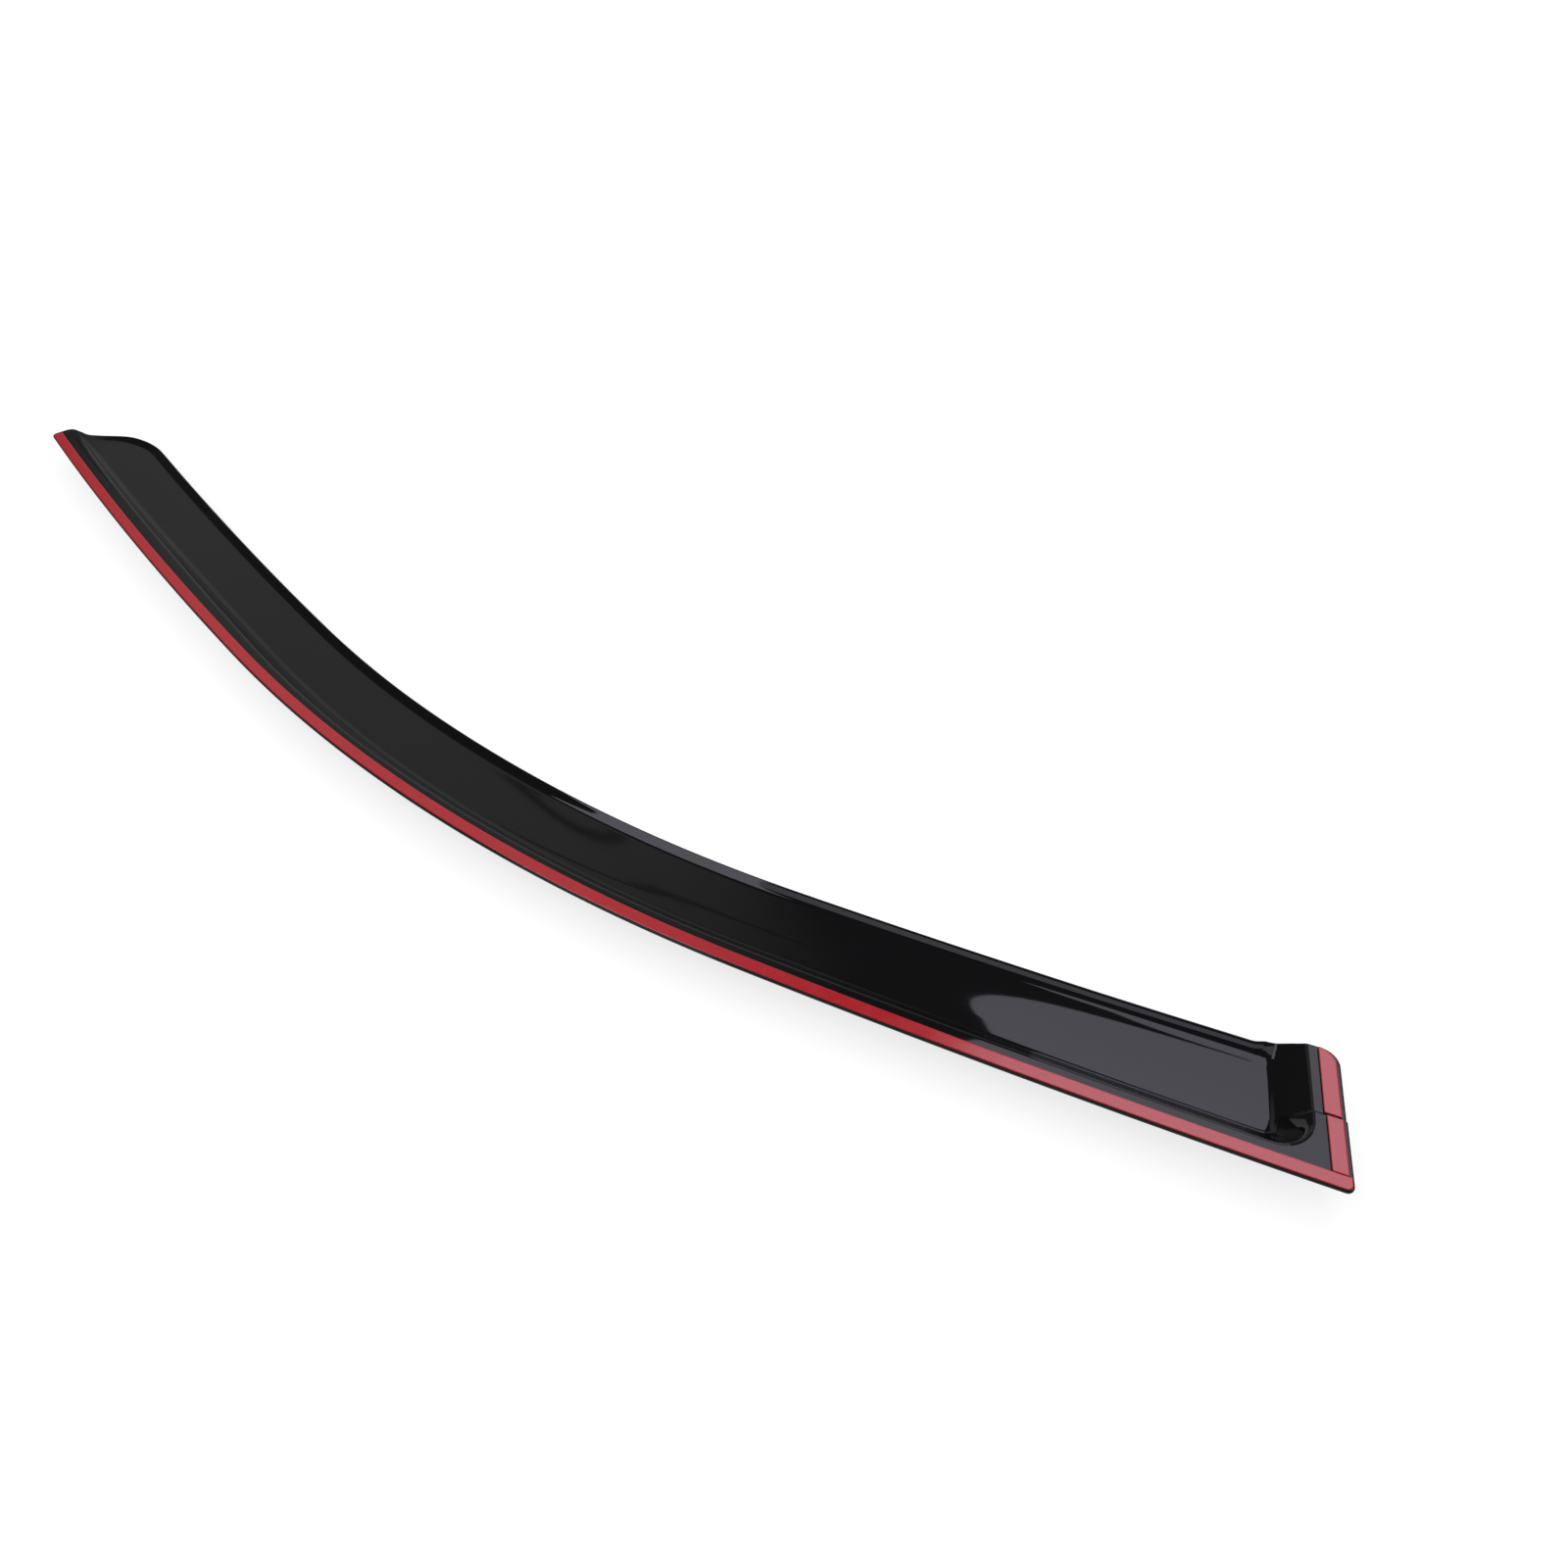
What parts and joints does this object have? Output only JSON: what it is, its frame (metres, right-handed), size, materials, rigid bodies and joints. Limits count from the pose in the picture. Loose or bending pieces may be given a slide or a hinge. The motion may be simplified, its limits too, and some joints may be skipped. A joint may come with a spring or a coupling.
{
  "type": "window rain deflector",
  "caption": "Stick-on rain deflector for a car's front door window: a curved gloss black formed shell with a trough, a turned-up lip, a closed rear end and red-filmed foam tape on its flange.",
  "frame": {"origin": "middle of the footprint, on the plane that the outer face of the trough rests on", "axes": "+X from the front tip to the rear corner, +Y from the taped edge towards the lip, +Z from the outer face to the tape side"},
  "size_m": [1.0074, 0.1557, 0.0205],
  "materials": {
    "shell": "polished",
    "foam": "matte",
    "film": "satin"
  },
  "bodies": {
    "root": {"visor": "shell", "top_tape_foam": "foam", "top_tape_liner": "film", "rear_corner_foam": "foam", "rear_corner_liner": "film", "rear_end_foam": "foam", "rear_end_liner": "film"}
  },
  "joints": []
}
